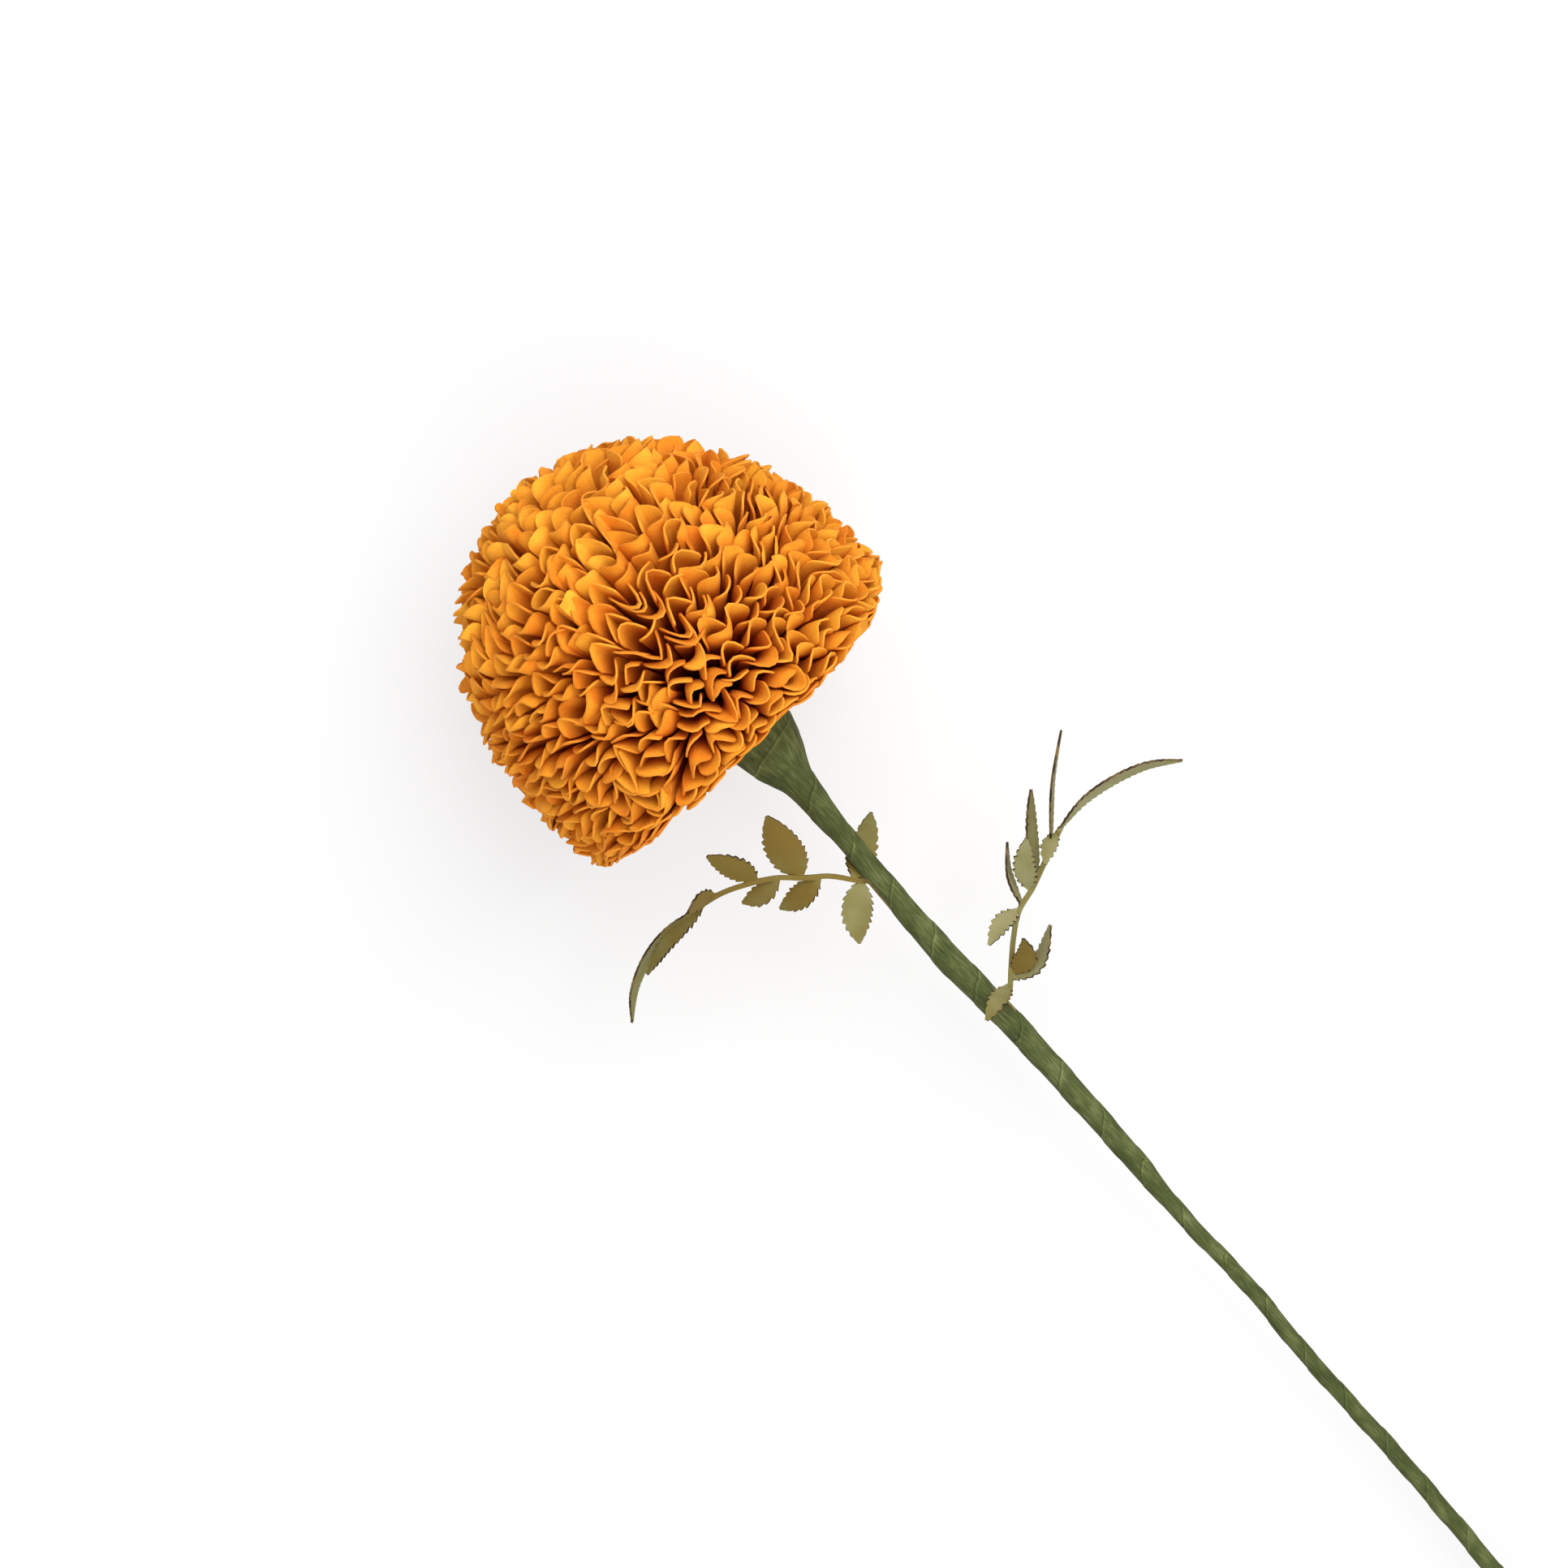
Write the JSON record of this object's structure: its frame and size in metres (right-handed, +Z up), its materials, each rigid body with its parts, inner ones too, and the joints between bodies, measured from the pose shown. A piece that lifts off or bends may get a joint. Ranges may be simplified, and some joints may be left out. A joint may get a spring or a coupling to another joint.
{
  "type": "paper flower",
  "caption": "Handmade paper marigold: a dome of folded orange paper petals on a wire stem wrapped in green crepe tape, with cut card leaf sprays, lying on its side.",
  "frame": {"origin": "on the floor under the centre of the whole flower's bounding box, as it lies", "axes": "+Y from the stem's cut end towards the head, +X across to the side of the lower leaf spray, +Z up"},
  "size_m": [0.1144, 0.3496, 0.0811],
  "materials": {
    "petal_paper": "matte orange paper",
    "stem_tape": "matte green crepe paper tape",
    "leaf_card": "matte olive card with burnt cut edges",
    "stem_wire": "plain drawn wire"
  },
  "bodies": {
    "root": {"petal_layer_01": "petal_paper", "petal_layer_02": "petal_paper", "petal_layer_03": "petal_paper", "petal_layer_04": "petal_paper", "petal_layer_05": "petal_paper", "petal_layer_06": "petal_paper", "petal_layer_07": "petal_paper", "petal_layer_08": "petal_paper", "petal_layer_09": "petal_paper", "petal_layer_10": "petal_paper", "petal_layer_11": "petal_paper", "petal_layer_12": "petal_paper", "petal_layer_13": "petal_paper", "petal_layer_14": "petal_paper", "petal_layer_15": "petal_paper", "petal_layer_16": "petal_paper", "petal_layer_17": "petal_paper", "petal_layer_18": "petal_paper", "petal_layer_19": "petal_paper", "petal_layer_20": "petal_paper", "petal_layer_21": "petal_paper", "stem_wire": "stem_wire", "stem_tape": "stem_tape", "leaf_spray_left": "leaf_card", "leaf_spray_right": "leaf_card"}
  },
  "joints": []
}
